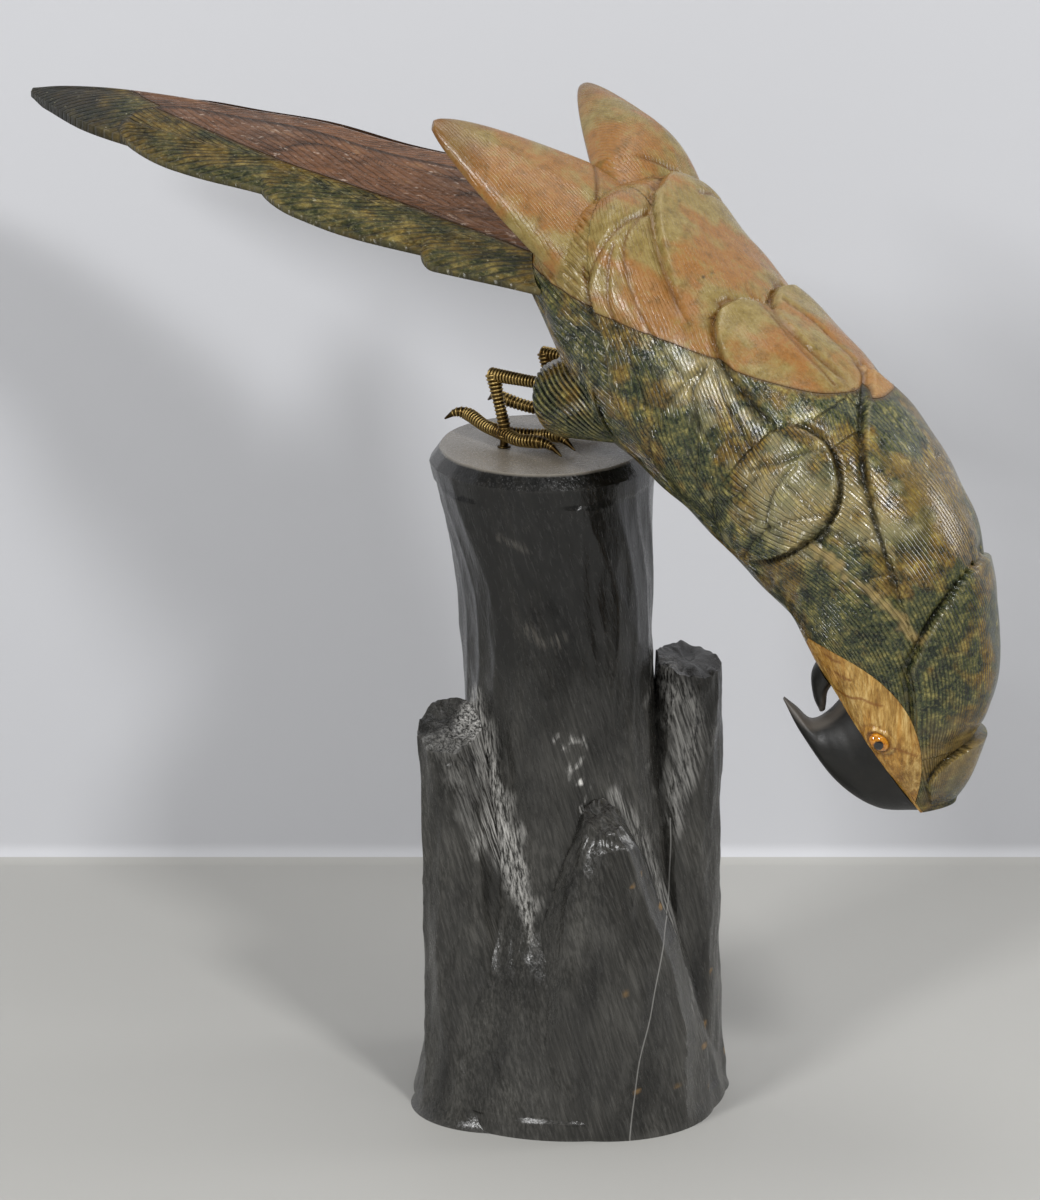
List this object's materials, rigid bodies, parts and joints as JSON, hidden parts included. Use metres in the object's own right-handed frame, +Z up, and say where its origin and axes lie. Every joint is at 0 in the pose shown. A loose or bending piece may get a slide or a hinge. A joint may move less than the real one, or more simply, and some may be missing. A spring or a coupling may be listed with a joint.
{
  "type": "stone macaw statuette",
  "caption": "Carved macaw of glued coloured stones with bronze feet, bent head down with its tail raised behind, perched on a black stone tree stump with broken branch stubs.",
  "frame": {"origin": "centre of the stump's flat underside, on the surface that it stands on", "axes": "+Z up, -Y towards the viewer of the picture, +X to the right, on the side of the bird's head"},
  "size_m": [0.5381, 0.4106, 0.5545],
  "materials": {
    "black_stone": "polished with tool marks",
    "green_stone": "polished, mottled",
    "salmon_stone": "polished, cloudy",
    "mauve_stone": "polished, streaked",
    "yellow_stone": "polished, banded",
    "beak_stone": "satin",
    "amber_glass": "glossy with a black pupil",
    "bronze": "cast, worn gilt"
  },
  "bodies": {
    "root": {"stump": "black_stone", "green_body": "green_stone", "salmon_back": "salmon_stone", "tail_mauve": "mauve_stone", "tail_green": "green_stone", "face_slab": "yellow_stone", "upper_beak": "beak_stone", "lower_beak": "beak_stone", "eye_near": "amber_glass", "eye_far": "amber_glass", "foot_near": "bronze", "foot_far": "bronze"}
  },
  "joints": []
}
